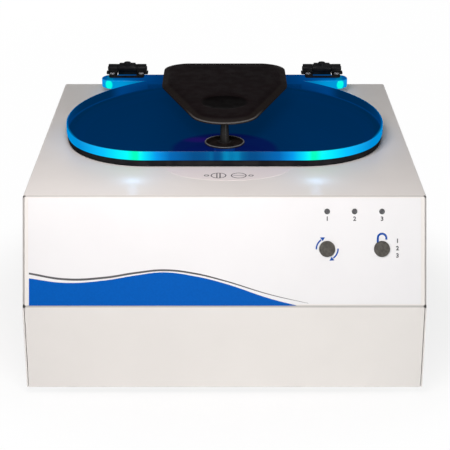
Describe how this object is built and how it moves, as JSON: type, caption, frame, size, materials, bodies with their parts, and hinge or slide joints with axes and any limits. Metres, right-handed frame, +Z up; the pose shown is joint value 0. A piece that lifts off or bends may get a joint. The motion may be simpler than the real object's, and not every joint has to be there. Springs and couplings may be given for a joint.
{
  "type": "bench centrifuge",
  "caption": "Bench centrifuge with a sheet case, sloped control panel, lit hinged acrylic lid with a raised hand plate, and a swinging bucket rotor.",
  "frame": {"origin": "middle of the case on the surface that the feet stand on", "axes": "+X to the right seen from the front, +Y to the back where the hinges and mains inlet are, +Z up"},
  "size_m": [0.449, 0.488, 0.2725],
  "materials": {
    "case_paint": "fine textured powder coat",
    "panel_film": "printed polyester film",
    "label_film": "satin film",
    "pan_steel": "zinc plated",
    "bowl_steel": "spun stainless",
    "ring_steel": "black primer",
    "black_rubber": "matt",
    "motor_cast": "cast",
    "motor_iron": "laminated",
    "bright_steel": "turned",
    "rotor_anodised": "anodised",
    "bucket_anodised": "anodised",
    "black_plastic": "gloss",
    "blue_acrylic": "polished, lit from its edge",
    "lamp_cyan": "clear lens, lit",
    "hinge_black": "satin black",
    "button_grey": "satin",
    "lens_grey": "tinted lens",
    "board_green": "solder mask",
    "nylon_black": "moulded",
    "brass_pin": "plated"
  },
  "bodies": {
    "case": {"base_pan": "pan_steel", "board_standoffs": "brass_pin", "bowl_seal": "black_rubber", "button_switches": "nylon_black", "case_screws": "bright_steel", "case_shell": "case_paint", "chamber_floor": "bowl_steel", "chamber_wall": "bowl_steel", "control_board": "board_green", "deck_label": "label_film", "feet": "black_rubber", "foot_screws": "bright_steel", "front_overlay": "panel_film", "guard_ring": "ring_steel", "hinge_bases": "hinge_black", "indicator_leds": "lens_grey", "inlet_pins": "brass_pin", "inlet_socket": "nylon_black", "latch_housing": "motor_cast", "motor_bearings": "bright_steel", "motor_housing": "motor_cast", "motor_isolators": "black_rubber", "motor_plate": "pan_steel", "motor_stator": "motor_iron", "power_board": "board_green", "power_parts": "nylon_black", "power_switch": "nylon_black", "rear_panel": "case_paint", "shaft_boot": "black_rubber", "solenoid": "ring_steel"},
    "lid": {"lid_panel": "blue_acrylic", "lid_gasket": "black_rubber", "lid_leds": "lamp_cyan", "hand_plate": "black_plastic", "rear_posts": "black_plastic", "post_screws": "bright_steel", "striker_post": "black_plastic", "well_ring": "black_plastic", "hinge_leaves": "hinge_black", "hinge_pins": "bright_steel", "lid_hinge_screws": "bright_steel"},
    "rotor": {"rotor_spider": "rotor_anodised", "rotor_nut": "black_plastic", "trunnion_pins": "bright_steel", "motor_shaft": "bright_steel", "motor_armature": "motor_iron"},
    "start_button": {"start_button": "button_grey"},
    "unlock_button": {"unlock_button": "button_grey"},
    "lock_bolt": {"lock_bolt": "bright_steel", "lock_plunger": "bright_steel"},
    "switch_rocker": {"switch_rocker": "black_plastic"},
    "fuse_drawer": {"fuse_drawer": "nylon_black"},
    "bucket_1": {"bucket_1": "bucket_anodised", "cushions_1": "black_rubber"},
    "bucket_2": {"bucket_2": "bucket_anodised", "cushions_2": "black_rubber"},
    "bucket_3": {"bucket_3": "bucket_anodised", "cushions_3": "black_rubber"},
    "bucket_4": {"bucket_4": "bucket_anodised", "cushions_4": "black_rubber"}
  },
  "joints": [
    {"name": "lid_hinge", "type": "hinge", "parent": "case", "child": "lid", "pos_m": [0, 0.2343, 0.2475], "axis": [-1, 0, 0], "range_deg": [0, 85]},
    {"name": "rotor_spin", "type": "hinge", "parent": "case", "child": "rotor", "pos_m": [0, 0.027, 0.176], "axis": [0, 0, 1], "continuous": true},
    {"name": "bucket_swing_1", "type": "hinge", "parent": "rotor", "child": "bucket_1", "pos_m": [0.075, 0.027, 0.176], "axis": [0, -1, 0], "range_deg": [0, 90]},
    {"name": "bucket_swing_2", "type": "hinge", "parent": "rotor", "child": "bucket_2", "pos_m": [0, 0.102, 0.176], "axis": [1, 0, 0], "range_deg": [0, 90]},
    {"name": "bucket_swing_3", "type": "hinge", "parent": "rotor", "child": "bucket_3", "pos_m": [-0.075, 0.027, 0.176], "axis": [0, 1, 0], "range_deg": [0, 90]},
    {"name": "bucket_swing_4", "type": "hinge", "parent": "rotor", "child": "bucket_4", "pos_m": [0, -0.048, 0.176], "axis": [-1, 0, 0], "range_deg": [0, 90]},
    {"name": "start_press", "type": "slide", "parent": "case", "child": "start_button", "axis": [0, 0.929, -0.37], "range_m": [0, 0.0012], "stiffness_N_per_m": 1500},
    {"name": "unlock_press", "type": "slide", "parent": "case", "child": "unlock_button", "axis": [0, 0.929, -0.37], "range_m": [0, 0.0012], "stiffness_N_per_m": 1500},
    {"name": "lock_slide", "type": "slide", "parent": "case", "child": "lock_bolt", "axis": [0, 1, 0], "range_m": [0, 0.01]},
    {"name": "power_rock", "type": "hinge", "parent": "case", "child": "switch_rocker", "pos_m": [-0.095, 0.2355, 0.058], "axis": [1, 0, 0], "range_deg": [0, 16]},
    {"name": "fuse_slide", "type": "slide", "parent": "case", "child": "fuse_drawer", "axis": [0, 1, 0], "range_m": [0, 0.014]}
  ]
}
